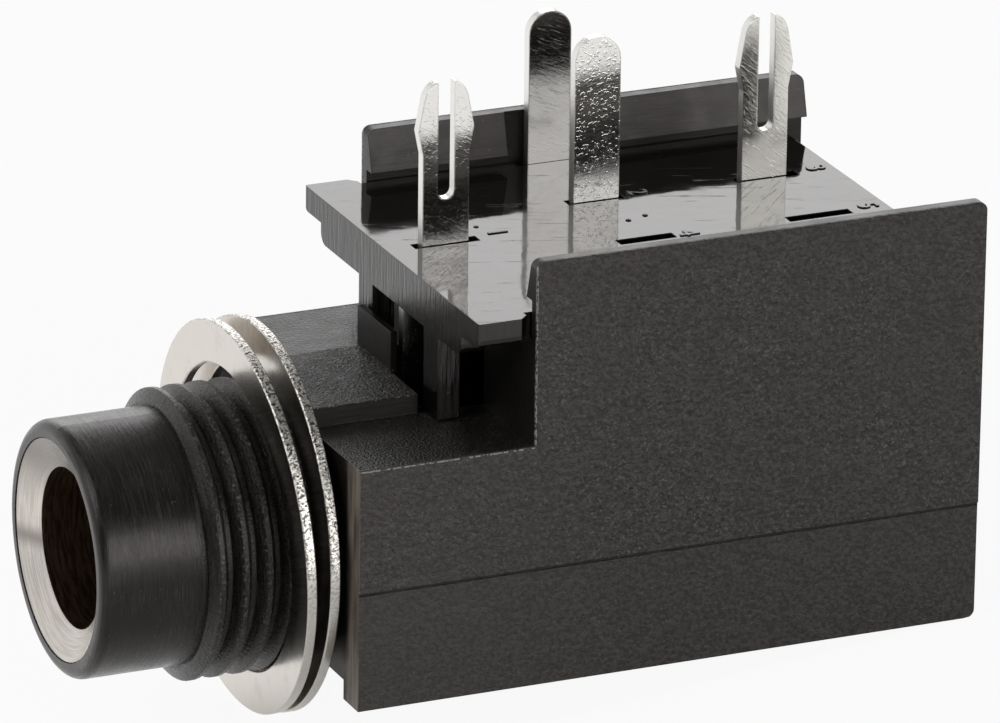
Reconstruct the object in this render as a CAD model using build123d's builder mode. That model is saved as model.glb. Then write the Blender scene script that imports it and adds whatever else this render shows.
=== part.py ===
from build123d import *
import os
from math import radians, tan

# Quarter-inch jack socket for a panel and a circuit board, in millimetres.
# X runs along the plug bore towards the rear, Y to the far side, Z up to the board.
# The origin is on the bore's axis, in the plane of the housing's front face.

os.makedirs("parts", exist_ok=True)

# Bore and ferrule
bore_diameter = 6.5
ferrule_wall = 0.4
ferrule_head_length = 1.0
ferrule_rim = 0.06
ferrule_recess = 0.04
ferrule_clearance = 0.03
countersink_depth = 0.62

# Nose and its thread
nose_length = 9.3
nose_diameter = 10.4
nose_rim = 0.69
nose_edge_radius = 0.45
thread_diameter = 11.76
thread_depth = 0.53
thread_pitch = 1.0
thread_ridges = 5
thread_crest = 0.2
thread_flank_angle = 30

# Housing
housing_length = 26.9
housing_width = 17.7
housing_bottom_z = -4.97
parting_step = 0.07
deck_z = 5.15
raised_deck_height = 0.8
raised_deck_far_y = 2.27
front_wall = 1.2
side_wall = 1.45
rear_wall = 1.4
floor_thickness = 0.7
underside_recess = 0.82
underside_rail = 1.55
underside_fillet = 0.3
corner_radius = 0.35
edge_radius = 0.12

# Pocket behind the deck, where the earth contact reaches the ferrule
pocket_lead = 0.35
pocket_half_width = 3.73
pocket_floor_z = 1.0
locating_rib_thickness = 0.28
locating_rib_near_y = -0.95
locating_rib_far_y = 2.45
locating_rib_height = 1.65

# Side walls that stand on the circuit board, and their snap ribs
board_z = 12.78
wall_top_thickness = 0.58
rib_thickness = 1.05
undercut_thickness = 0.52
rib_above_plate = 0.5

# Terminal plate
plate_top_z = 10.55
plate_thickness = 1.05
plate_side_clearance = 0.12
plate_rear_overlap = 0.35
flange_gap = 0.31
flange_length = 2.17
flange_chamfer = 0.35
flange_edge_radius = 0.35
skirt_side_clearance = 0.25
skirt_depth = 0.85
skirt_length = 1.1
skirt_radius = 0.5
leg_length = 0.95
leg_width = 1.41
leg_far_offset = 2.74
leg_near_offset = 3.88
leg_seat_gap = 0.05

# Terminals, in columns and rows on the circuit board's 0.3 by 0.2 inch grid
column_pitch = 7.62
row_pitch = 5.08
rear_column_inset = 4.16
front_column_inset = 0.07
outer_row_inset = 0.8
stock = 0.45
slot_far_clearance = 0.03
slot_near_clearance = 0.1
snap_slot_length = 2.8
plain_slot_length = 2.45

# Terminal blades
blade_width = 2.0
outer_blade_width = 1.86
board_thickness = 1.6
earth_terminal_reach = 4.58
ring_terminal_reach = 4.72
tip_terminal_reach = 4.72
switch_terminal_reach = 4.25
barb_width = 2.4
barb_rise = 1.0
prong_slot_width = 0.7
prong_slot_depth = 4.9
prong_tip_width = 0.05
prong_shoulder_width = 1.92
prong_shoulder_drop = 0.75
prong_curve_drop = 0.15
earth_play = 0.08
tip_play = 0.16
switch_play = 0.15

# Leaves and bends below the plate
leaf_half_height = 1.4
bend_radius = 0.6
seat_gap = 0.02
contact_gap = 0.38
earth_reach = 1.8
earth_overlap = 1.2
ring_joggle_drop = 4.3
ring_joggle = 1.03
ring_leaf_rise = 1.25
ring_leaf_reach = 2.5
tip_leaf_rise = 0.8
tab_width = 1.0
tab_height = 5.0
pad_height = 1.8
wall_gap = 0.23
joggle_run = 1.1

# Washers, loose on the thread
washer_bore_clearance = 0.74
washer_ring_width = 1.75
washer_thickness = 0.42
washer_edge = 0.05
washer_thread_gap = 0.04
rear_washer_gap = 0.42
front_washer_gap = 0.57
front_washer_angle = 2.3

# Sizes that follow from the ones above
half_width = housing_width / 2
nose_front_x = -nose_length
nose_radius = nose_diameter / 2
bore_radius = bore_diameter / 2
ferrule_radius = bore_radius + ferrule_wall
ferrule_front_x = nose_front_x + ferrule_recess
ferrule_head_radius = nose_radius - nose_rim - ferrule_clearance
thread_radius = thread_diameter / 2
thread_root_radius = thread_radius - thread_depth

third_column_x = housing_length - rear_column_inset
second_column_x = third_column_x - column_pitch
first_column_x = second_column_x - column_pitch
outer_row_y = half_width - outer_row_inset
main_row_y = outer_row_y - row_pitch
earth_row_y = main_row_y - row_pitch / 2
near_row_y = main_row_y - row_pitch

tall_start_x = first_column_x - front_column_inset
cavity_start_x = tall_start_x + front_wall
cavity_end_x = housing_length - rear_wall
cavity_half_width = half_width - side_wall
recess_z = housing_bottom_z + underside_recess
floor_z = recess_z + floor_thickness
raised_deck_z = deck_z + raised_deck_height

plate_seat_z = plate_top_z - plate_thickness
rib_bottom_z = plate_top_z + rib_above_plate
undercut_y = half_width - undercut_thickness
plate_half_width = undercut_y - plate_side_clearance
plate_rear_x = cavity_end_x + plate_rear_overlap
flange_end_x = tall_start_x - flange_gap
plate_front_x = flange_end_x - flange_length
skirt_half_width = cavity_half_width - skirt_side_clearance
pocket_start_x = plate_front_x - pocket_lead

slot_width = stock + slot_far_clearance + slot_near_clearance
slot_shift = (slot_far_clearance - slot_near_clearance) / 2
earth_blade_x = first_column_x - earth_play
tip_blade_x = third_column_x - tip_play
switch_blade_x = second_column_x + switch_play
neck_z = board_z + board_thickness
barb_z = neck_z + barb_rise
leg_far_y = earth_row_y + leg_far_offset
leg_near_y = earth_row_y - leg_near_offset
earth_front_x = earth_blade_x - earth_reach
ferrule_tail_x = earth_front_x + earth_overlap
washer_bore = thread_diameter + washer_bore_clearance
washer_diameter = washer_bore + 2 * washer_ring_width


# Side view of the housing, without its nose
with BuildPart() as housing:
    with BuildSketch(Plane.XZ):
        with BuildLine():
            Polyline(
                (0, housing_bottom_z),
                (housing_length, housing_bottom_z),
                (housing_length, plate_seat_z),
                (tall_start_x, plate_seat_z),
                (tall_start_x, deck_z),
                (0, deck_z),
                close=True,
            )
        make_face()
    extrude(amount=half_width, both=True)

    # Raised middle of the deck
    with BuildSketch(Plane.XY.offset(deck_z)):
        with Locations((pocket_start_x / 2, (raised_deck_far_y - pocket_half_width) / 2)):
            Rectangle(pocket_start_x, raised_deck_far_y + pocket_half_width)
    extrude(amount=raised_deck_height)

    # Side walls with a wedge rib that snaps over the terminal plate
    with BuildSketch(Plane.YZ.offset(tall_start_x)):
        with BuildLine():
            Polyline(
                (half_width, plate_seat_z),
                (half_width, board_z),
                (half_width - wall_top_thickness, board_z),
                (half_width - rib_thickness, rib_bottom_z),
                (undercut_y, rib_bottom_z),
                (undercut_y, plate_seat_z),
                close=True,
            )
        make_face()
        mirror(about=Plane.YZ)
    extrude(amount=housing_length - tall_start_x)

    # Rounded corners of the side view
    rear_corners = housing.edges().filter_by(Axis.Y).group_by(Axis.X)[-1]
    fillet(rear_corners.group_by(Axis.Z)[-1] + rear_corners.group_by(Axis.Z)[0], corner_radius)
    wall_tops = housing.faces().filter_by(Axis.Z).group_by(Axis.Z)[-1]
    fillet(wall_tops.edges().filter_by(Axis.Y).group_by(Axis.X)[0], corner_radius)

    # Main cavity for the contacts
    with BuildSketch(Plane.XY.offset(floor_z)):
        with Locations(((cavity_start_x + cavity_end_x) / 2, 0)):
            Rectangle(cavity_end_x - cavity_start_x, 2 * cavity_half_width)
    extrude(amount=plate_seat_z - floor_z, mode=Mode.SUBTRACT)

    # Pocket from the deck to the cavity, over the ferrule's tail
    with BuildSketch(Plane.XY.offset(pocket_floor_z)):
        with Locations(((pocket_start_x + cavity_start_x) / 2, 0)):
            Rectangle(cavity_start_x - pocket_start_x, 2 * pocket_half_width)
    extrude(amount=plate_seat_z - pocket_floor_z, mode=Mode.SUBTRACT)

    # Locating rib at the deck's rear edge
    rib_middle_y = (locating_rib_near_y + locating_rib_far_y) / 2
    with BuildSketch(Plane.XY.offset(pocket_floor_z)):
        with Locations((pocket_start_x + locating_rib_thickness / 2, rib_middle_y)):
            Rectangle(locating_rib_thickness, locating_rib_far_y - locating_rib_near_y)
    extrude(amount=raised_deck_z + locating_rib_height - pocket_floor_z)

    # Groove and notch that the outer terminal passes through
    groove_depth = undercut_y - cavity_half_width
    groove_height = joggle_run + stock + bend_radius
    with BuildSketch(Plane.XY.offset(plate_seat_z - groove_height)):
        with Locations((second_column_x, undercut_y - groove_depth / 2)):
            Rectangle(plain_slot_length, groove_depth)
    extrude(amount=groove_height, mode=Mode.SUBTRACT)
    with BuildSketch(Plane.XY.offset(rib_bottom_z)):
        with Locations((second_column_x, undercut_y - rib_thickness / 2)):
            Rectangle(plain_slot_length + 2 * stock, rib_thickness)
    extrude(amount=board_z - rib_bottom_z, mode=Mode.SUBTRACT)

    # Recess in the underside, open at the front between two rails
    recess_length = housing_length - underside_rail
    with BuildSketch(Plane.XY.offset(housing_bottom_z)) as recess:
        with Locations((recess_length / 2, 0)):
            Rectangle(recess_length, housing_width - 2 * underside_rail)
        fillet(recess.vertices().group_by(Axis.X)[-1], underside_fillet)
    extrude(amount=underside_recess, mode=Mode.SUBTRACT)

    # Both sides step in a little below the parting line
    with BuildSketch(Plane.YZ):
        with Locations((half_width, housing_bottom_z), (-half_width, housing_bottom_z)):
            Rectangle(2 * parting_step, -2 * housing_bottom_z)
    extrude(amount=housing_length, mode=Mode.SUBTRACT)

    # Nose, its rounded front edge and the ridges of its thread
    with BuildSketch(Plane.XZ):
        with BuildLine():
            half_crest = thread_crest / 2
            half_ridge = half_crest + thread_depth * tan(radians(thread_flank_angle))
            thread_points = []
            for ridge in range(thread_ridges):
                crest_x = (ridge + 0.5 - thread_ridges) * thread_pitch
                thread_points += [
                    (crest_x - half_ridge, thread_root_radius),
                    (crest_x - half_crest, thread_radius),
                    (crest_x + half_crest, thread_radius),
                    (crest_x + half_ridge, thread_root_radius),
                ]
            thread_front_x = thread_points[0][0]
            Polyline(
                (nose_front_x, 0),
                (nose_front_x, nose_radius - nose_edge_radius),
            )
            RadiusArc(
                (nose_front_x, nose_radius - nose_edge_radius),
                (nose_front_x + nose_edge_radius, nose_radius),
                nose_edge_radius,
            )
            Polyline(
                (nose_front_x + nose_edge_radius, nose_radius),
                (thread_front_x, nose_radius),
                *thread_points,
                (0, thread_root_radius),
                (0, 0),
                (nose_front_x, 0),
            )
        make_face()
    revolve(axis=Axis.X)

    # Bore for the ferrule, with a counterbore for its head
    with BuildSketch(Plane.YZ.offset(nose_front_x)):
        Circle(ferrule_radius + ferrule_clearance)
    extrude(amount=cavity_start_x - nose_front_x, mode=Mode.SUBTRACT)
    with BuildSketch(Plane.YZ.offset(nose_front_x)):
        Circle(ferrule_head_radius + ferrule_clearance)
    extrude(amount=ferrule_recess + ferrule_head_length, mode=Mode.SUBTRACT)
housing.part.label = "housing"
export_step(housing.part, "parts/housing.step")


# Turned ferrule that lines the bore and carries the sleeve's connection
with BuildPart() as ferrule:
    with BuildSketch(Plane.XZ):
        with BuildLine():
            head_end_x = ferrule_front_x + ferrule_head_length
            Polyline(
                (ferrule_front_x, ferrule_head_radius - ferrule_rim),
                (ferrule_front_x, ferrule_head_radius),
                (head_end_x, ferrule_head_radius),
                (head_end_x, ferrule_radius),
                (ferrule_tail_x, ferrule_radius),
                (ferrule_tail_x, bore_radius),
                (ferrule_front_x + countersink_depth, bore_radius),
                close=True,
            )
        make_face()
    revolve(axis=Axis.X)
ferrule.part.label = "ferrule"
export_step(ferrule.part, "parts/ferrule.step")


# Terminal plate that closes the housing and guides the terminals
with BuildPart() as terminal_plate:
    with BuildSketch(Plane.XY.offset(plate_seat_z)) as plate_view:
        with BuildLine():
            Polyline(
                (plate_front_x, -half_width),
                (flange_end_x - flange_chamfer, -half_width),
                (flange_end_x, -half_width + flange_chamfer),
                (flange_end_x, -plate_half_width),
                (plate_rear_x, -plate_half_width),
                (plate_rear_x, plate_half_width),
                (flange_end_x, plate_half_width),
                (flange_end_x, half_width - flange_chamfer),
                (flange_end_x - flange_chamfer, half_width),
                (plate_front_x, half_width),
                close=True,
            )
        make_face()
        fillet(plate_view.vertices().group_by(Axis.X)[0], edge_radius)
    extrude(amount=plate_thickness)

    # Rounded lower edges at the flange's two sides
    with BuildSketch(Plane.YZ.offset(plate_front_x)) as flange_view:
        with Locations((0, plate_seat_z + plate_thickness / 2)):
            Rectangle(housing_width, plate_thickness)
        fillet(flange_view.vertices().group_by(Axis.Y)[0], flange_edge_radius)
    extrude(amount=plate_rear_x - plate_front_x, mode=Mode.INTERSECT)

    # Skirt under the flange, with rounded lower corners
    with BuildSketch(Plane.YZ.offset(plate_front_x)) as skirt_view:
        with Locations((0, plate_seat_z - skirt_depth / 2)):
            Rectangle(2 * skirt_half_width, skirt_depth)
        fillet(skirt_view.vertices().group_by(Axis.Y)[0], skirt_radius)
    extrude(amount=skirt_length)

    # Two legs that reach down to the deck
    leg_foot_z = deck_z + leg_seat_gap
    with BuildSketch(Plane.XY.offset(leg_foot_z)):
        with Locations(
            (plate_front_x + leg_length / 2, leg_far_y - leg_width / 2),
            (plate_front_x + leg_length / 2, leg_near_y - leg_width / 2),
        ):
            Rectangle(leg_length, leg_width)
    extrude(amount=plate_seat_z - leg_foot_z)

    # Slots for the terminals, two of them spare, and a notch for the outer one
    with BuildSketch(Plane.XY.offset(plate_seat_z)):
        with Locations(
            (first_column_x, earth_row_y + slot_shift),
            (third_column_x, main_row_y + slot_shift),
            (third_column_x, near_row_y + slot_shift),
        ):
            Rectangle(snap_slot_length, slot_width)
        with Locations(
            (second_column_x, main_row_y + slot_shift),
            (second_column_x, near_row_y + slot_shift),
        ):
            Rectangle(plain_slot_length, slot_width)
        notch_y = outer_row_y - stock / 2 - slot_far_clearance
        with Locations((second_column_x, (notch_y + half_width) / 2)):
            Rectangle(plain_slot_length, half_width - notch_y)
    extrude(amount=plate_thickness, mode=Mode.SUBTRACT)
terminal_plate.part.label = "terminal_plate"
export_step(terminal_plate.part, "parts/terminal_plate.step")


def ribbon(points, radius):
    """Draws a strip of the stock's thickness along a bent line, in the sketch that is open."""
    with BuildLine(mode=Mode.PRIVATE) as centre_line:
        FilletPolyline(*points, radius=radius)
    trace(centre_line.line, line_width=stock)


def snap_terminal(centre_x, top_z, foot_z):
    """Draws a split terminal whose barbs lock behind the board, in the sketch that is open."""
    slot_half = prong_slot_width / 2
    slot_end_z = top_z - prong_slot_depth + slot_half
    shoulder_z = top_z - prong_shoulder_drop
    shoulder_half = prong_shoulder_width / 2
    shoulder_slope = (barb_width / 2 - shoulder_half) / (shoulder_z - barb_z)
    tip_half = slot_half + prong_tip_width
    curve_z = top_z - prong_curve_drop
    curve_half = shoulder_half - shoulder_slope * (curve_z - shoulder_z)
    with BuildLine(mode=Mode.PRIVATE) as outline:
        Polyline(
            (centre_x, top_z),
            (centre_x + tip_half, top_z),
        )
        Bezier(
            (centre_x + tip_half, top_z),
            (centre_x + curve_half, curve_z),
            (centre_x + shoulder_half, shoulder_z),
        )
        Polyline(
            (centre_x + shoulder_half, shoulder_z),
            (centre_x + barb_width / 2, barb_z),
            (centre_x + blade_width / 2, neck_z),
            (centre_x + blade_width / 2, foot_z),
            (centre_x, foot_z),
        )
        mirror(about=Plane.YZ.offset(centre_x))
    make_face(outline.edges())
    with Locations((centre_x, (slot_end_z + top_z) / 2)):
        Rectangle(prong_slot_width, top_z - slot_end_z, mode=Mode.SUBTRACT)
    with Locations((centre_x, slot_end_z)):
        Circle(slot_half, mode=Mode.SUBTRACT)


def round_terminal(centre_x, width, top_z, foot_z):
    """Draws a plain terminal with a round end, in the sketch that is open."""
    arc_z = top_z - width / 2
    with Locations((centre_x, (foot_z + arc_z) / 2)):
        Rectangle(width, arc_z - foot_z)
    with Locations((centre_x, arc_z)):
        Circle(width / 2)


# Earth contact: one flat stamping that stands on the ferrule's tail
with BuildPart() as earth_contact:
    foot_z = ferrule_radius + seat_gap
    shoulder_z = plate_seat_z - seat_gap
    skirt_end_x = plate_front_x + skirt_length + seat_gap
    blade_rear_x = earth_blade_x + blade_width / 2
    with BuildSketch(Plane.XZ.offset(-earth_row_y)):
        snap_terminal(earth_blade_x, board_z + earth_terminal_reach, foot_z)
        with BuildLine():
            Polyline(
                (earth_front_x, foot_z),
                (earth_front_x, shoulder_z - skirt_depth),
                (skirt_end_x, shoulder_z - skirt_depth),
                (skirt_end_x, shoulder_z),
                (blade_rear_x, shoulder_z),
                (blade_rear_x, foot_z),
                close=True,
            )
        make_face()
    extrude(amount=stock / 2, both=True)
earth_contact.part.label = "earth_contact"
export_step(earth_contact.part, "parts/earth_contact.step")


# Ring contact: a round-ended terminal above a sprung leaf beside the bore
with BuildPart() as ring_contact:
    joggle_top_z = plate_seat_z - ring_joggle_drop
    ring_leaf_y = main_row_y + ring_joggle
    blade_front_x = second_column_x - blade_width / 2
    blade_rear_x = second_column_x + blade_width / 2
    with BuildSketch(Plane.XZ.offset(-main_row_y)):
        round_terminal(second_column_x, blade_width, board_z + ring_terminal_reach, plate_seat_z)
    extrude(amount=stock / 2, both=True)
    with BuildSketch(Plane.YZ.offset(blade_front_x)):
        ribbon(
            [
                (main_row_y, plate_seat_z),
                (main_row_y, joggle_top_z),
                (ring_leaf_y, joggle_top_z - joggle_run),
                (ring_leaf_y, -leaf_half_height),
            ],
            bend_radius,
        )
    extrude(amount=blade_width)
    with BuildSketch(Plane.XY.offset(-leaf_half_height)):
        ribbon(
            [
                (blade_rear_x, ring_leaf_y),
                (blade_front_x, ring_leaf_y),
                (blade_front_x - ring_leaf_rise, ring_leaf_y - ring_leaf_rise),
                (blade_front_x - ring_leaf_reach, ring_leaf_y - stock),
            ],
            bend_radius,
        )
    extrude(amount=2 * leaf_half_height)
ring_contact.part.label = "ring_contact"
export_step(ring_contact.part, "parts/ring_contact.step")


# Tip contact: a split terminal, a leaf that bows into the plug's groove, and a tab
with BuildPart() as tip_contact:
    tab_front_x = second_column_x + blade_width / 2 + contact_gap
    tab_rear_x = tab_front_x + tab_width
    blade_front_x = tip_blade_x - blade_width / 2
    tip_apex_x = tab_rear_x + tip_leaf_rise
    with BuildSketch(Plane.XZ.offset(-main_row_y)):
        snap_terminal(tip_blade_x, board_z + tip_terminal_reach, -leaf_half_height)
        with Locations(((tab_front_x + tab_rear_x) / 2, leaf_half_height + tab_height / 2)):
            Rectangle(tab_width, tab_height)
    extrude(amount=stock / 2, both=True)
    with BuildSketch(Plane.XY.offset(-leaf_half_height)):
        ribbon(
            [
                (tip_blade_x, main_row_y),
                (blade_front_x, main_row_y),
                (tip_apex_x, main_row_y - tip_leaf_rise),
                (tab_rear_x, main_row_y),
                (tab_front_x, main_row_y),
            ],
            bend_radius,
        )
    extrude(amount=2 * leaf_half_height)
tip_contact.part.label = "tip_contact"
export_step(tip_contact.part, "parts/tip_contact.step")


# Switch contact: comes down beside the far wall and reaches round to the tip contact's tab
with BuildPart() as switch_contact:
    joggle_top_z = plate_seat_z - bend_radius
    inner_y = cavity_half_width - wall_gap - stock / 2
    pad_y = main_row_y - stock - seat_gap
    pad_top_z = leaf_half_height + tab_height
    return_x = tab_rear_x + tab_width
    blade_front_x = switch_blade_x - outer_blade_width / 2
    with BuildSketch(Plane.XZ.offset(-outer_row_y)):
        round_terminal(switch_blade_x, outer_blade_width, board_z + switch_terminal_reach, plate_seat_z)
    extrude(amount=stock / 2, both=True)
    with BuildSketch(Plane.YZ.offset(blade_front_x)):
        ribbon(
            [
                (outer_row_y, plate_seat_z),
                (outer_row_y, joggle_top_z),
                (inner_y, joggle_top_z - joggle_run),
                (inner_y, pad_top_z - pad_height),
            ],
            bend_radius,
        )
    extrude(amount=outer_blade_width)
    with BuildSketch(Plane.XY.offset(pad_top_z - pad_height)):
        ribbon(
            [
                (blade_front_x, inner_y),
                (return_x, inner_y),
                (return_x, pad_y),
                (tab_front_x, pad_y),
            ],
            bend_radius,
        )
    extrude(amount=pad_height)
switch_contact.part.label = "switch_contact"
export_step(switch_contact.part, "parts/switch_contact.step")


def washer(front_x, lean_angle):
    """Flat washer that hangs on the thread and may lean forward at the top."""
    lift = washer_bore / 2 - thread_radius - washer_thread_gap
    leaning_plane = Plane(origin=(front_x, 0, lift), z_dir=(1, 0, 0)).rotated((0, -lean_angle, 0))
    with BuildPart() as ring:
        with BuildSketch(leaning_plane):
            Circle(washer_diameter / 2)
            Circle(washer_bore / 2, mode=Mode.SUBTRACT)
        extrude(amount=washer_thickness)
        chamfer(ring.edges(), washer_edge)
    return ring


rear_washer_x = -rear_washer_gap - washer_thickness
rear_washer = washer(rear_washer_x, 0)
rear_washer.part.label = "rear_washer"
export_step(rear_washer.part, "parts/rear_washer.step")

front_washer = washer(rear_washer_x - front_washer_gap - washer_thickness, front_washer_angle)
front_washer.part.label = "front_washer"
export_step(front_washer.part, "parts/front_washer.step")
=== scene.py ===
import math

import bmesh
import bpy
from mathutils import Matrix, Vector


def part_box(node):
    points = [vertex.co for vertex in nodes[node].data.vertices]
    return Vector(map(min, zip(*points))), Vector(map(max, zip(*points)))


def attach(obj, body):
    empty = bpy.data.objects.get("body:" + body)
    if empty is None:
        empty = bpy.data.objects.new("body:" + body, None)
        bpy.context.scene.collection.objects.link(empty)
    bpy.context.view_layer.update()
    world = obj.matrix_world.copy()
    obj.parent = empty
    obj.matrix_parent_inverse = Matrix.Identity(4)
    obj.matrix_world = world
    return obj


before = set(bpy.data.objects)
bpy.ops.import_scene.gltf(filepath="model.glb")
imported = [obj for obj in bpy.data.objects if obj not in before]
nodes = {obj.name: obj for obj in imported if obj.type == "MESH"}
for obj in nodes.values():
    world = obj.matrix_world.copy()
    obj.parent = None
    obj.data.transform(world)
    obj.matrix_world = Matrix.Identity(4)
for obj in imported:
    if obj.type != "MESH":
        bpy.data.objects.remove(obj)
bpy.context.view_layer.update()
scene = bpy.context.scene
scene.view_settings.view_transform = "Standard"

MM = 0.001

# Camera, fitted to the photograph
CAMERA_PLACE = (-0.13008489, -0.31728741, 0.13402896)
CAMERA_RIGHT = (0.916741, -0.39931, 0.011753)
CAMERA_BACK = (-0.378126, -0.857864, 0.34798)
CAMERA_LENS = 332.6689
CAMERA_SENSOR = 36.0

# Places on the part in millimetres, most of them where one finish gives way to the next
NOSE_ROOT_X = (-0.06, -0.02)
THREAD_X = (-5.1, -0.3)
CREST_RADIUS = (5.7, 5.83)
SIDE_FACE_Y = (8.70, 8.74)
RAISED_DECK_X = (0.02, 5.2)
RAISED_DECK_Z = (5.9, 6.0)
SHELF_X = (0.02, 7.4)
SHELF_Z = (5.12, 5.18)
SHELF_EDGE_X = (0.05, 7.4)
SHELF_EDGE_Z = (5.06, 5.12)
TALL_EDGE_X = (7.40, 7.47)
TALL_EDGE_Z = (5.1, 5.3)
PARTING_Z = (-0.05, 0.05)
PARTING_GROOVE_Z = (-0.12, 0.0)
PARTING_FLASH_Z = (0.01, 0.05)
WALL_TOP_Z = (11.2, 12.0)
WALL_FRONT_X = (0.0, 14.0)
FRONT_FACE_X = (-0.02, 0.01)
FRONT_STRIP_Y = (-7.9, -7.4)
PLATE_TOP_Z = (10.5, 10.6)
FERRULE_INSIDE_X = (-8.66, -8.6)
FERRULE_DARK_Z = (0.5, 3.4)
FERRULE_SPOKE_Z = (-1.1, -0.5)
FERRULE_SPOKE_Y = (1.0, 2.5)
WASHER_CENTRE_Z = 0.33
WASHER_RIM_RADIUS = (7.9, 7.97)
WASHER_PITTED_Z = (-1.5, 2.5)
HOUSING_REST_EDGE_Z = -4.9

# Colours shared by several materials
WARM_GLOSS = (1.0, 0.94, 0.92, 1.0)
BRIGHT_NICKEL = (0.8, 0.785, 0.755, 1)

# Raised marks on the terminal plate: sizes in millimetres, then a dot's rings and sides
NUMERAL_HEIGHT = 0.85
NUMERAL_THICKNESS = 0.07
MARK_SUNK = 0.02
DOME_RINGS = 5
DOME_SIDES = 20

# Floor: half its width in metres, its cells on a side and its gap to the part in millimetres
FLOOR_REACH = 2.5
FLOOR_CELLS = 24
FLOOR_GAP = 0.02
FLOOR_WHITE = 0.93
# Painted shadow of the part as reflections see the floor: where it lies in millimetres, and how
# much darker
FLOOR_DARK_Y = (-42.0, -2.0)
FLOOR_DARK_SHARE = 0.87

# Studio: the side behind the camera is darker than the rest, and so is what is overhead.
# A direction's share of DARK_SIDE and its height set how bright the world is there.
DARK_SIDE = (-0.35, -0.9, 0.1)
DARK_SIDE_SHARE = (-0.15, 0.6)
DARK_SIDE_LEVEL = (0.9, 0.1)
OVERHEAD_HEIGHT = (0.35, 0.75)
OVERHEAD_LEVEL = (1.0, 0.25)
LIGHTS_AIM = (0.009, 0.0, 0.003)
SOFTBOXES = [
    {"name": "key", "place": (-0.55, -0.1, 0.5), "width": 0.4, "height": 0.4, "power": 1.6},
    {"name": "back", "place": (0.3, 0.6, 0.25), "width": 0.7, "height": 0.3, "power": 1.0},
    {"name": "front", "place": (0.27, -0.66, 0.12), "width": 0.8, "height": 0.44, "power": 3.0},
]


def grey(level, warmth=0.0):
    return (level * (1 + warmth), level, level * (1 - warmth), 1.0)


class Nodes:
    """Adds nodes to an emptied tree. Values are sockets or plain numbers, colours and vectors."""

    def __init__(self, tree):
        self.tree = tree
        tree.nodes.clear()

    def node(self, kind, **settings):
        node = self.tree.nodes.new("ShaderNode" + kind)
        for name, value in settings.items():
            setattr(node, name, value)
        return node

    def link(self, value, socket):
        if isinstance(value, bpy.types.NodeSocket):
            self.tree.links.new(value, socket)
        else:
            socket.default_value = value

    def separate(self, vector):
        node = self.node("SeparateXYZ")
        self.link(vector, node.inputs[0])
        return node.outputs

    def vector(self, operation, first, second=None, scale=None, output="Vector"):
        node = self.node("VectorMath", operation=operation)
        self.link(first, node.inputs[0])
        if second is not None:
            self.link(second, node.inputs[1])
        if scale is not None:
            node.inputs["Scale"].default_value = scale
        return node.outputs[output]

    def math(self, operation, *values):
        node = self.node("Math", operation=operation)
        for value, socket in zip(values, node.inputs):
            self.link(value, socket)
        return node.outputs[0]

    def multiply(self, first, *others):
        for other in others:
            first = self.math("MULTIPLY", first, other)
        return first

    def opposite(self, value):
        return self.math("SUBTRACT", 1.0, value)

    def ramp(self, value, low, high, start=0.0, end=1.0):
        """start below low, end above high, smooth between."""
        node = self.node("MapRange", interpolation_type="SMOOTHSTEP")
        self.link(value, node.inputs["Value"])
        limits = {"From Min": low, "From Max": high, "To Min": start, "To Max": end}
        for name, number in limits.items():
            node.inputs[name].default_value = number
        return node.outputs["Result"]

    def band(self, value, low, high, soft=0.02):
        """1 between low and high, 0 outside."""
        rise = self.ramp(value, low - soft, low + soft)
        fall = self.ramp(value, high - soft, high + soft, 1.0, 0.0)
        return self.multiply(rise, fall)

    def mixed(self, kind, factor, first, second):
        node = self.node("Mix", data_type=kind)
        for name, value in {"Factor": factor, "A": first, "B": second}.items():
            self.link(value, node.inputs[name])
        return node.outputs["Result"]

    def mix(self, factor, first, second):
        """Colour between first and second."""
        return self.mixed("RGBA", factor, first, second)

    def blend(self, factor, first, second):
        """Number between first and second."""
        return self.mixed("FLOAT", factor, first, second)


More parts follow.
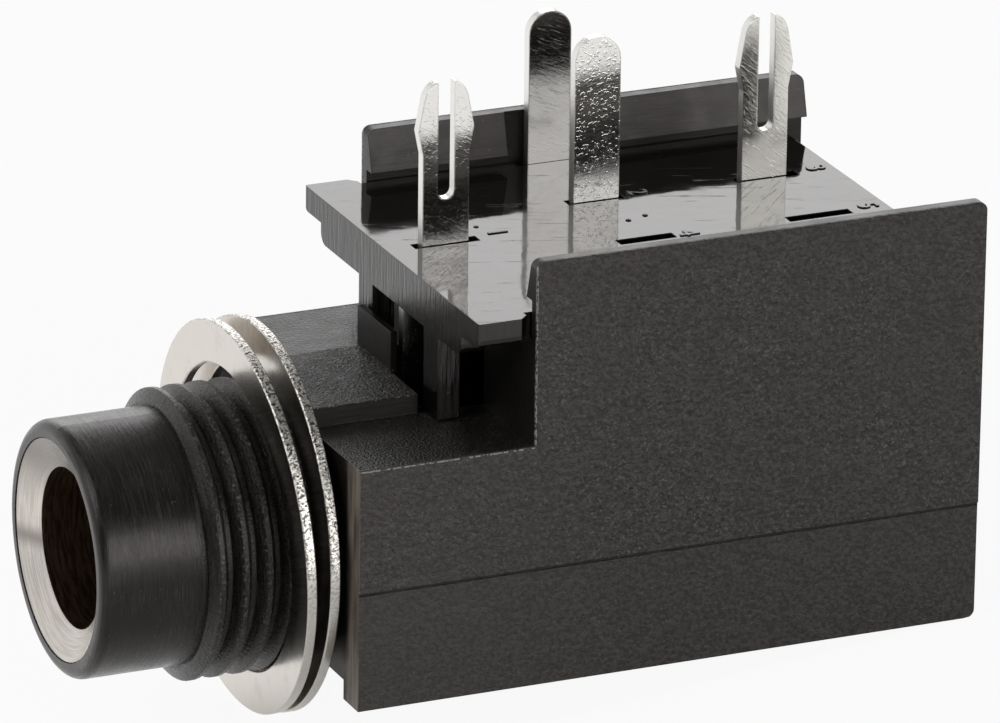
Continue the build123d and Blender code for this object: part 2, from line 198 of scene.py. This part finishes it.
class Shader(Nodes):
    """One material. place, x, y and z are in millimetres of the object's frame."""

    def __init__(self, name):
        self.material = bpy.data.materials.new(name)
        self.material.use_nodes = True
        super().__init__(self.material.node_tree)
        self.output = self.node("OutputMaterial")
        coordinates = self.node("TexCoord").outputs["Object"]
        self.place = self.vector("SCALE", coordinates, scale=1 / MM)
        self.x, self.y, self.z = self.separate(self.place)

    def reach(self, centre_z=0.0):
        """Distance from a line along X that is centre_z above the bore's axis."""
        across = self.vector("MULTIPLY", self.place, (0.0, 1.0, 1.0))
        across = self.vector("SUBTRACT", across, (0.0, 0.0, centre_z))
        return self.vector("LENGTH", across, output="Value")

    def rotated(self, angles):
        node = self.node("VectorRotate", rotation_type="EULER_XYZ")
        self.link(self.place, node.inputs["Vector"])
        node.inputs["Rotation"].default_value = angles
        return node.outputs[0]

    def noise(self, scale, detail, roughness, stretch=None, where=None, distortion=0.0):
        """Noise with about scale bumps per millimetre, squeezed by stretch on each axis."""
        place = where or self.place
        if stretch:
            place = self.vector("MULTIPLY", place, stretch)
        node = self.node("TexNoise")
        self.link(place, node.inputs["Vector"])
        node.inputs["Scale"].default_value = scale
        node.inputs["Detail"].default_value = detail
        node.inputs["Roughness"].default_value = roughness
        node.inputs["Distortion"].default_value = distortion
        return node.outputs["Fac"]

    def soft_edges(self, radius):
        node = self.node("Bevel", samples=2)
        node.inputs["Radius"].default_value = radius * MM
        return node.outputs["Normal"]

    def relief(self, normal, *layers):
        """Bumps on top of normal. Each layer is a height of 0 to 1, its depth in millimetres
        and, where it doesn't lie everywhere, its mask."""
        for height, depth, *mask in layers:
            node = self.node("Bump")
            self.link(height, node.inputs["Height"])
            node.inputs["Distance"].default_value = depth * MM
            self.link(mask[0] if mask else 1.0, node.inputs["Strength"])
            self.link(normal, node.inputs["Normal"])
            normal = node.outputs["Normal"]
        return normal

    def coats(self, base, *coats):
        """Colours over base, each with its mask."""
        for mask, color in coats:
            base = self.mix(mask, base, color)
        return base

    def finish(self, color, roughness, normal, **settings):
        shader = self.node("BsdfPrincipled")
        self.link(color, shader.inputs["Base Color"])
        self.link(roughness, shader.inputs["Roughness"])
        self.link(normal, shader.inputs["Normal"])
        for name, value in settings.items():
            self.link(value, shader.inputs[name.replace("_", " ")])
        self.link(shader.outputs["BSDF"], self.output.inputs["Surface"])
        return self.material


def moulded_plastic():
    """Black moulded housing: spark-eroded walls, coarse deck, turned nose, torn thread."""
    s = Shader("moulding")

    # Masks of the places
    nose = s.ramp(s.x, *NOSE_ROOT_X, 1.0, 0.0)
    thread = s.band(s.x, *THREAD_X)
    crest = s.multiply(s.ramp(s.reach(), *CREST_RADIUS), thread)
    side = s.multiply(s.ramp(s.math("ABSOLUTE", s.y), *SIDE_FACE_Y), s.opposite(nose))
    upper = s.ramp(s.z, *PARTING_Z)
    deck = s.multiply(s.band(s.x, *RAISED_DECK_X), s.band(s.z, *RAISED_DECK_Z))
    shelf = s.multiply(s.band(s.x, *SHELF_X), s.band(s.z, *SHELF_Z))
    inner = s.opposite(s.math("MAXIMUM", s.math("MAXIMUM", side, nose), deck))
    tall_edge = s.multiply(s.band(s.x, *TALL_EDGE_X, 0.01), s.ramp(s.z, *TALL_EDGE_Z))
    shelf_edge = s.multiply(s.band(s.z, *SHELF_EDGE_Z, 0.01), s.band(s.x, *SHELF_EDGE_X))
    parting_shadow = s.multiply(side, s.band(s.z, *PARTING_GROOVE_Z))
    flash_highlight = s.multiply(side, s.band(s.z, *PARTING_FLASH_Z))
    washer_reflection_strip = s.multiply(
        s.band(s.x, *FRONT_FACE_X), s.ramp(s.y, *FRONT_STRIP_Y, 1.0, 0.0)
    )

    # Patterns
    fine = s.noise(5.5, 2.0, 0.6)
    medium = s.noise(3.4, 2.0, 0.6)
    coarse = s.noise(8.5, 2.0, 0.6)
    patches = s.noise(0.22, 3.0, 0.6)
    streaks = s.noise(2.4, 4.0, 0.65, (9.0, 0.22, 0.22))
    scuffs = s.noise(2.6, 2.0, 0.65, (9.0, 0.3, 0.3))
    torn = s.noise(7.0, 3.0, 0.65)
    drawn = s.noise(1.6, 2.0, 0.6, (0.35, 2.6, 2.6))
    # Streaks for the painted reflection of the washer on the front face
    reflection_streaks = s.noise(1.2, 2.0, 0.6, (1.0, 2.5, 0.25))
    specks = s.noise(7.0, 1.0, 0.5)
    sparkles = s.ramp(s.noise(10.0, 1.0, 0.5), 0.6, 0.68)

    normal = s.relief(
        s.soft_edges(0.05),
        (fine, 0.06, side),
        (medium, 0.1, s.multiply(side, upper, s.ramp(patches, 0.35, 0.6, 0.4, 1.0))),
        (coarse, 0.19, deck),
        (coarse, 0.07, shelf),
        (streaks, 0.022, nose),
        (torn, 0.03, thread),
        (drawn, 0.02, s.multiply(inner, 0.5)),
        (s.band(s.z, *PARTING_GROOVE_Z, 0.05), -0.07, side),
    )

    # Walls: eroded grain with light and dark specks, fewer at the top and below the parting line
    wall = s.mix(patches, grey(0.024, 0.1), grey(0.032, 0.1))
    # Darker where the fine grain is low and lighter where it is high: painted shade in its
    # hollows and painted highlight on its peaks
    shaded_hollows = s.mix(0.6, wall, grey(0.003, 0.1))
    lit_peaks = s.mix(0.3, wall, grey(0.062, 0.08))
    speck_share = s.multiply(
        s.blend(upper, 0.35, s.ramp(patches, 0.35, 0.6, 0.35, 1.0)),
        s.ramp(s.z, *WALL_TOP_Z, 1.0, 0.12),
    )
    light_specks = s.ramp(s.noise(7.5, 1.0, 0.5), 0.6, 0.7)
    dark_specks = s.ramp(s.noise(6.0, 1.0, 0.5, (1.0, 1.0, 0.8)), 0.6, 0.7)
    wall = s.coats(
        s.mix(s.ramp(fine, 0.35, 0.65), shaded_hollows, lit_peaks),
        (s.multiply(light_specks, speck_share), grey(0.085, 0.05)),
        (s.multiply(dark_specks, speck_share), grey(0.003, 0.05)),
        # Lighter towards the front end of the walls: a painted sheen
        (s.ramp(s.x, *WALL_FRONT_X, 0.3, 0.05), grey(0.07, 0.08)),
    )

    worn = s.multiply(s.math("MAXIMUM", tall_edge, shelf_edge), side, s.ramp(specks, 0.42, 0.52))
    scuffed = s.multiply(
        nose, s.ramp(scuffs, 0.46, 0.66), s.ramp(patches, 0.35, 0.6, 0.25, 1.0)
    )
    base = s.coats(
        s.mix(patches, grey(0.006, 0.14), grey(0.0095, 0.14)),
        (side, wall),
        # Lighter on the high spots of the deck's coarse grain: painted highlight
        (s.multiply(deck, s.ramp(coarse, 0.5, 0.68)), grey(0.035, 0.06)),
        (s.multiply(deck, sparkles), grey(0.2, 0.04)),
        (s.multiply(shelf, sparkles, 0.4), grey(0.12, 0.08)),
        (s.multiply(crest, s.ramp(torn, 0.54, 0.66, 0.0, 0.7)), grey(0.16, 0.04)),
        (worn, grey(0.3, 0.03)),
        (scuffed, grey(0.032, 0.07)),
        (s.ramp(specks, 0.73, 0.78, 0.0, 0.35), grey(0.16, 0.04)),
        # Near black along the parting groove: painted shadow
        (parting_shadow, grey(0.001)),
        # A light line just above the parting groove: painted highlight
        (s.multiply(flash_highlight, s.ramp(fine, 0.4, 0.6, 0.2, 0.8)), grey(0.09, 0.04)),
        # Brownish streaks on the front face beside the washer: a painted reflection of the washer
        (s.multiply(washer_reflection_strip, s.ramp(reflection_streaks, 0.3, 0.7, 0.3, 1.0)), (0.27, 0.225, 0.185, 1)),
    )

    rough = s.blend(side, 0.34, 0.52)
    rough = s.blend(deck, rough, 0.45)
    rough = s.blend(nose, rough, s.ramp(streaks, 0.3, 0.7, 0.17, 0.27))
    rough = s.math("ADD", rough, s.ramp(s.noise(0.9, 3.0, 0.6), 0.3, 0.7, -0.04, 0.06))
    rough = s.blend(thread, rough, s.ramp(torn, 0.35, 0.65, 0.24, 0.36))
    return s.finish(base, rough, normal, IOR=1.48, Specular_Tint=WARM_GLOSS)


def glossy_plastic():
    """Mirror-gloss plate: flow waves and fine scratches on top, drag lines at its sides."""
    s = Shader("gloss_moulding")
    top = s.band(s.z, *PLATE_TOP_Z)
    waves = s.noise(0.45, 2.0, 0.5)
    drag = s.noise(2.0, 4.0, 0.6, (2.4, 2.4, 0.25))
    scratches = s.noise(1.2, 3.0, 0.5, (0.3, 5.0, 1.0), s.rotated((0.0, 0.0, 0.35)))
    normal = s.relief(
        s.soft_edges(0.06),
        (waves, 0.012, top),
        (drag, 0.03, s.opposite(top)),
        (s.ramp(scratches, 0.66, 0.72), 0.003, top),
    )
    base = s.coats(
        grey(0.004, 0.12),
        (top, grey(0.011, 0.12)),
        (s.ramp(s.noise(5.0, 1.0, 0.5), 0.74, 0.78, 0.0, 0.25), grey(0.14, 0.03)),
    )
    rough = s.math("ADD", 0.045, s.ramp(s.noise(0.7, 3.0, 0.6), 0.4, 0.75, 0.0, 0.05))
    rough = s.blend(top, s.math("ADD", rough, 0.06), rough)
    return s.finish(base, rough, normal, IOR=1.55, Specular_Tint=WARM_GLOSS)


def stamped_nickel(
    name, tint, brush_angle, scratch_depth, speckle, roughness, lean=0.0, twist=0.0
):
    """Bright nickel plate over a rolled strip: brush lines, raised specks and duller cut edges.
    lean and twist are the slopes by which the pressed face is out of true."""
    s = Shader(name)
    brush = s.noise(2.2, 4.0, 0.65, (1.0, 1.0, 7.0), s.rotated((0.0, brush_angle, 0.0)))
    stray = s.noise(
        1.6, 2.0, 0.5, (0.8, 1.0, 12.0), s.rotated((0.0, brush_angle + 0.12, 0.0)), 0.2
    )
    grain = s.noise(7.5, 1.0, 0.5)
    pits = s.noise(8.0, 2.0, 0.6)
    waves = s.noise(0.5, 2.0, 0.5)
    out_of_true = s.math("ADD", s.multiply(s.z, -lean), s.multiply(s.x, twist))
    normal = s.relief(
        s.soft_edges(0.08),
        (out_of_true, 1.0),
        (waves, 0.007),
        (brush, 0.0022 * scratch_depth),
        (s.ramp(stray, 0.62, 0.7), 0.0009 * scratch_depth),
        (s.ramp(grain, 0.57, 0.65), 0.005 * speckle),
    )
    true_normal = s.node("NewGeometry").outputs["True Normal"]
    cut_edge = s.ramp(s.math("ABSOLUTE", s.separate(true_normal)["X"]), 0.6, 0.8)
    base = s.coats(
        tint,
        (s.multiply(s.ramp(pits, 0.6, 0.7), 0.35 * speckle), grey(0.22, 0.06)),
        # Cut edges are rougher, and their lighter colour is a painted highlight
        (cut_edge, (0.9, 0.89, 0.86, 1)),
    )
    rough = s.math("ADD", roughness, s.ramp(brush, 0.35, 0.7, 0.0, 0.08))
    rough = s.math("ADD", rough, s.ramp(waves, 0.4, 0.7, 0.0, 0.06))
    rough = s.blend(cut_edge, rough, 0.4)
    return s.finish(base, rough, normal, Metallic=1.0)


def washer_nickel():
    """Bright washer faces with fine drag marks, and a sheared rim that is pitted at its top."""
    s = Shader("nickel_washer")
    rim = s.ramp(s.reach(WASHER_CENTRE_Z), *WASHER_RIM_RADIUS)
    pitted = s.multiply(rim, s.ramp(s.z, *WASHER_PITTED_Z, 0.12, 1.0))
    drag = s.noise(2.0, 4.0, 0.6, (1.0, 4.0, 0.5))
    sheared = s.noise(8.0, 3.0, 0.7, (1.0, 1.2, 1.2))
    normal = s.relief(
        s.soft_edges(0.05),
        (s.noise(0.4, 2.0, 0.5), 0.015),
        (drag, 0.004),
        (sheared, 0.035, pitted),
    )
    stain = s.ramp(s.noise(1.1, 4.0, 0.65), 0.5, 0.75, 0.0, 0.3)
    base = s.coats(
        (0.7, 0.66, 0.61, 1),
        (stain, (0.5, 0.455, 0.4, 1)),
        (s.multiply(rim, 0.8), (0.97, 0.94, 0.88, 1)),
        (s.multiply(pitted, s.ramp(sheared, 0.5, 0.58, 0.0, 0.9)), grey(0.06, 0.2)),
    )
    rough = s.blend(rim, s.ramp(drag, 0.3, 0.7, 0.16, 0.25), 0.26)
    return s.finish(base, rough, normal, Metallic=1.0)


def turned_nickel():
    """Ferrule: fine turning lines round its face, and a darker, duller bore."""
    s = Shader("nickel_turned")
    rings = s.node("CombineXYZ")
    for socket, value in zip(rings.inputs, (s.multiply(s.reach(), 5.0), s.y, s.z)):
        s.link(value, socket)
    turning = s.noise(2.4, 4.0, 0.65, (1.0, 0.22, 0.22), rings.outputs[0])
    streaks = s.noise(2.4, 4.0, 0.65, (3.0, 0.4, 0.4))
    inside = s.ramp(s.x, *FERRULE_INSIDE_X)
    normal = s.relief(
        s.soft_edges(0.04),
        (turning, 0.009),
        (streaks, 0.008, inside),
    )
    # Darker towards the top and in a spoke below the axis: painted reflections on the turned face
    upper = s.ramp(s.z, *FERRULE_DARK_Z, 0.0, 0.78)
    spoke_reflection = s.multiply(
        s.band(s.z, *FERRULE_SPOKE_Z, 0.35), s.ramp(s.y, *FERRULE_SPOKE_Y, 0.0, 0.7)
    )
    bore = s.mix(s.ramp(streaks, 0.35, 0.65), (0.2, 0.15, 0.11, 1), (0.6, 0.49, 0.4, 1))
    base = s.coats(
        (0.67, 0.63, 0.58, 1),
        # The darker top and spoke are painted reflections
        (s.math("MAXIMUM", upper, spoke_reflection), (0.16, 0.14, 0.13, 1)),
        (s.ramp(turning, 0.4, 0.65, 0.0, 0.4), (0.36, 0.33, 0.3, 1)),
        (inside, bore),
    )
    rough = s.blend(inside, s.ramp(turning, 0.3, 0.7, 0.2, 0.3), 0.34)
    round_axis = s.node("Tangent", direction_type="RADIAL", axis="X").outputs[0]
    return s.finish(base, rough, normal, Metallic=1.0, Anisotropic=0.75, Tangent=round_axis)


def aim_camera():
    data = bpy.data.cameras.new("camera")
    data.sensor_fit = "HORIZONTAL"
    data.sensor_width = CAMERA_SENSOR
    data.lens = CAMERA_LENS
    data.clip_start = 0.02
    data.clip_end = 20.0
    camera = bpy.data.objects.new("camera", data)
    scene.collection.objects.link(camera)
    back = Vector(CAMERA_BACK).normalized()
    up = back.cross(Vector(CAMERA_RIGHT).normalized()).normalized()
    turn = Matrix((up.cross(back), up, back)).transposed().to_4x4()
    camera.matrix_world = Matrix.Translation(Vector(CAMERA_PLACE)) @ turn
    scene.camera = camera


aim_camera()
materials = {
    "housing": moulded_plastic(),
    "terminal_plate": glossy_plastic(),
    "ferrule": turned_nickel(),
    "earth_contact": stamped_nickel(
        "nickel_stamped", BRIGHT_NICKEL,
        brush_angle=-0.6, scratch_depth=0.6, speckle=0.25, roughness=0.05, lean=0.05,
    ),
    "ring_contact": stamped_nickel(
        "nickel_stamped_ring", BRIGHT_NICKEL,
        brush_angle=0.2, scratch_depth=0.4, speckle=0.62, roughness=0.05, lean=0.038,
    ),
    "tip_contact": stamped_nickel(
        "nickel_stamped_tip", (0.8, 0.785, 0.735, 1),
        brush_angle=-0.8, scratch_depth=2.2, speckle=0.05, roughness=0.06, twist=0.042,
    ),
    "switch_contact": stamped_nickel(
        "nickel_stamped_switch", (0.78, 0.765, 0.745, 1),
        brush_angle=-0.5, scratch_depth=0.7, speckle=0.04, roughness=0.04,
    ),
    "front_washer": washer_nickel(),
    "rear_washer": washer_nickel(),
}
for name, material in materials.items():
    for slot in nodes[name].material_slots:
        slot.material = material


# Small raised numerals and dots on the terminal plate
plate_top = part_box("terminal_plate")[1].z


def add_mark(name, mesh):
    piece = bpy.data.objects.new(name, mesh)
    scene.collection.objects.link(piece)
    piece.data.materials.clear()
    piece.data.materials.append(materials["terminal_plate"])
    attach(piece, "root")


def numeral(name, text, centre_x, centre_y):
    """A raised numeral that lies on its side, its foot towards -X."""
    curve = bpy.data.curves.new(name, "FONT")
    curve.body = text
    curve.align_x = "CENTER"
    curve.align_y = "CENTER"
    curve.size = 1.0
    curve.extrude = 0.02
    curve.bevel_depth = 0.012
    curve.bevel_resolution = 1
    temporary = bpy.data.objects.new(name, curve)
    scene.collection.objects.link(temporary)
    bpy.context.view_layer.update()
    evaluated = temporary.evaluated_get(bpy.context.evaluated_depsgraph_get())
    mesh = bpy.data.meshes.new_from_object(evaluated)
    bpy.data.objects.remove(temporary)
    corners = [vertex.co.copy() for vertex in mesh.vertices]
    low = Vector([min(corner[axis] for corner in corners) for axis in range(3)])
    high = Vector([max(corner[axis] for corner in corners) for axis in range(3)])
    middle = (low + high) / 2
    scale = NUMERAL_HEIGHT / (high.y - low.y)
    for vertex, corner in zip(mesh.vertices, corners):
        rise = (corner.z - low.z) / (high.z - low.z) * NUMERAL_THICKNESS - MARK_SUNK
        vertex.co = Vector((
            (centre_x + (corner.y - middle.y) * scale) * MM,
            (centre_y - (corner.x - middle.x) * scale) * MM,
            plate_top + rise * MM,
        ))
    edit = bmesh.new()
    edit.from_mesh(mesh)
    bmesh.ops.remove_doubles(edit, verts=edit.verts, dist=1e-7)
    bmesh.ops.recalc_face_normals(edit, faces=edit.faces)
    edit.to_mesh(mesh)
    edit.free()
    add_mark(name, mesh)


def dome(name, centre_x, centre_y, radius, rise):
    """A small raised dot, flatter at its crown."""
    edit = bmesh.new()
    loops = []
    for ring in range(DOME_RINGS):
        angle = ring / DOME_RINGS * math.pi / 2
        reach = radius * math.cos(angle)
        height = rise * math.sin(angle) - MARK_SUNK * (ring == 0)
        loop = []
        for k in range(DOME_SIDES):
            turn = 2 * math.pi * k / DOME_SIDES
            loop.append(edit.verts.new((
                (centre_x + reach * math.cos(turn)) * MM,
                (centre_y + reach * math.sin(turn)) * MM,
                plate_top + height * MM,
            )))
        loops.append(loop)
    for lower, upper in zip(loops, loops[1:]):
        for k in range(DOME_SIDES):
            after = (k + 1) % DOME_SIDES
            edit.faces.new((lower[k], lower[after], upper[after], upper[k]))
    edit.faces.new(loops[-1])
    edit.faces.new(loops[0][::-1])
    mesh = bpy.data.meshes.new(name)
    edit.to_mesh(mesh)
    edit.free()
    for polygon in mesh.polygons:
        polygon.use_smooth = True
    add_mark(name, mesh)


numeral("numeral_1", "1", 9.9, 0.7)
numeral("numeral_2", "2", 17.1, 3.05)
numeral("numeral_3", "3", 25.1, 3.1)
numeral("numeral_4", "4", 16.95, -2.2)
numeral("numeral_5", "5", 25.05, -1.85)
dome("dot_1", 9.37, 1.64, 0.12, 0.05)
dome("dot_2", 15.36, 0.11, 0.13, 0.06)
dome("dot_3", 16.23, 0.41, 0.13, 0.06)


# Floor, tangent to the washers' lower rims and the housing's rear bottom edge
washer_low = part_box("rear_washer")[0]
housing_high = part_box("housing")[1]


def floor_paper():
    """Pale paper. The camera sees it nearly white, and so do reflections but for a darker strip
    in front of the part."""
    s = Shader("floor")
    paper = s.node("BsdfDiffuse")
    s.link(s.mix(s.noise(0.02, 2.0, 0.5), grey(0.84), grey(0.86)), paper.inputs["Color"])
    white = s.node("Emission")
    white.inputs["Color"].default_value = (1, 1, 1, 1)
    white.inputs["Strength"].default_value = 1.0
    light_path = s.node("LightPath").outputs
    seen = s.multiply(light_path["Is Camera Ray"], FLOOR_WHITE)
    # A darker strip just in front of the part, seen only in reflections: painted shadow of the
    # part
    reflected_shadow = s.multiply(s.band(s.y, *FLOOR_DARK_Y, 6.0), FLOOR_DARK_SHARE)
    mirrored = s.multiply(light_path["Is Glossy Ray"], s.math("SUBTRACT", FLOOR_WHITE, reflected_shadow))
    shown = s.node("MixShader")
    s.link(s.math("ADD", seen, mirrored), shown.inputs["Fac"])
    s.link(paper.outputs[0], shown.inputs[1])
    s.link(white.outputs[0], shown.inputs[2])
    s.link(shown.outputs[0], s.output.inputs["Surface"])
    return s.material


def floor_mesh():
    slope = (HOUSING_REST_EDGE_Z * MM - washer_low.z) / (housing_high.x - washer_low.x)
    ticks = [(tick / FLOOR_CELLS * 2 - 1) * FLOOR_REACH for tick in range(FLOOR_CELLS + 1)]
    height = washer_low.z - FLOOR_GAP * MM
    points = [(x, y, height + slope * (x - washer_low.x)) for y in ticks for x in ticks]
    faces = []
    for row in range(FLOOR_CELLS):
        for column in range(FLOOR_CELLS):
            first = row * (FLOOR_CELLS + 1) + column
            above = first + FLOOR_CELLS + 1
            faces.append((first, first + 1, above + 1, above))
    mesh = bpy.data.meshes.new("floor")
    mesh.from_pydata(points, [], faces)
    return mesh


floor = bpy.data.objects.new("floor", floor_mesh())
scene.collection.objects.link(floor)
floor.data.materials.append(floor_paper())


def light_world():
    """Pale studio, darker behind the camera and overhead, white where the camera looks."""
    world = bpy.data.worlds.new("world")
    scene.world = world
    world.use_nodes = True
    w = Nodes(world.node_tree)
    direction = w.node("TexCoord").outputs["Generated"]
    facing = w.vector("DOT_PRODUCT", direction, DARK_SIDE, output="Value")
    shade = w.ramp(facing, *DARK_SIDE_SHARE, *DARK_SIDE_LEVEL)
    overhead = w.ramp(w.separate(direction)["Z"], *OVERHEAD_HEIGHT, *OVERHEAD_LEVEL)
    seen = w.node("LightPath").outputs["Is Camera Ray"]
    background = w.node("Background")
    w.link(w.blend(seen, w.multiply(shade, overhead), 1.0), background.inputs["Color"])
    background.inputs["Strength"].default_value = 1.0
    w.link(background.outputs[0], w.node("OutputWorld").inputs["Surface"])


def softbox(name, place, width, height, power):
    data = bpy.data.lights.new(name, "AREA")
    data.shape = "RECTANGLE"
    data.size = width
    data.size_y = height
    data.energy = power
    lamp = bpy.data.objects.new(name, data)
    scene.collection.objects.link(lamp)
    lamp.location = place
    aim = Vector(LIGHTS_AIM) - Vector(place)
    lamp.rotation_euler = aim.to_track_quat("-Z", "Y").to_euler()


light_world()
for box in SOFTBOXES:
    softbox(**box)

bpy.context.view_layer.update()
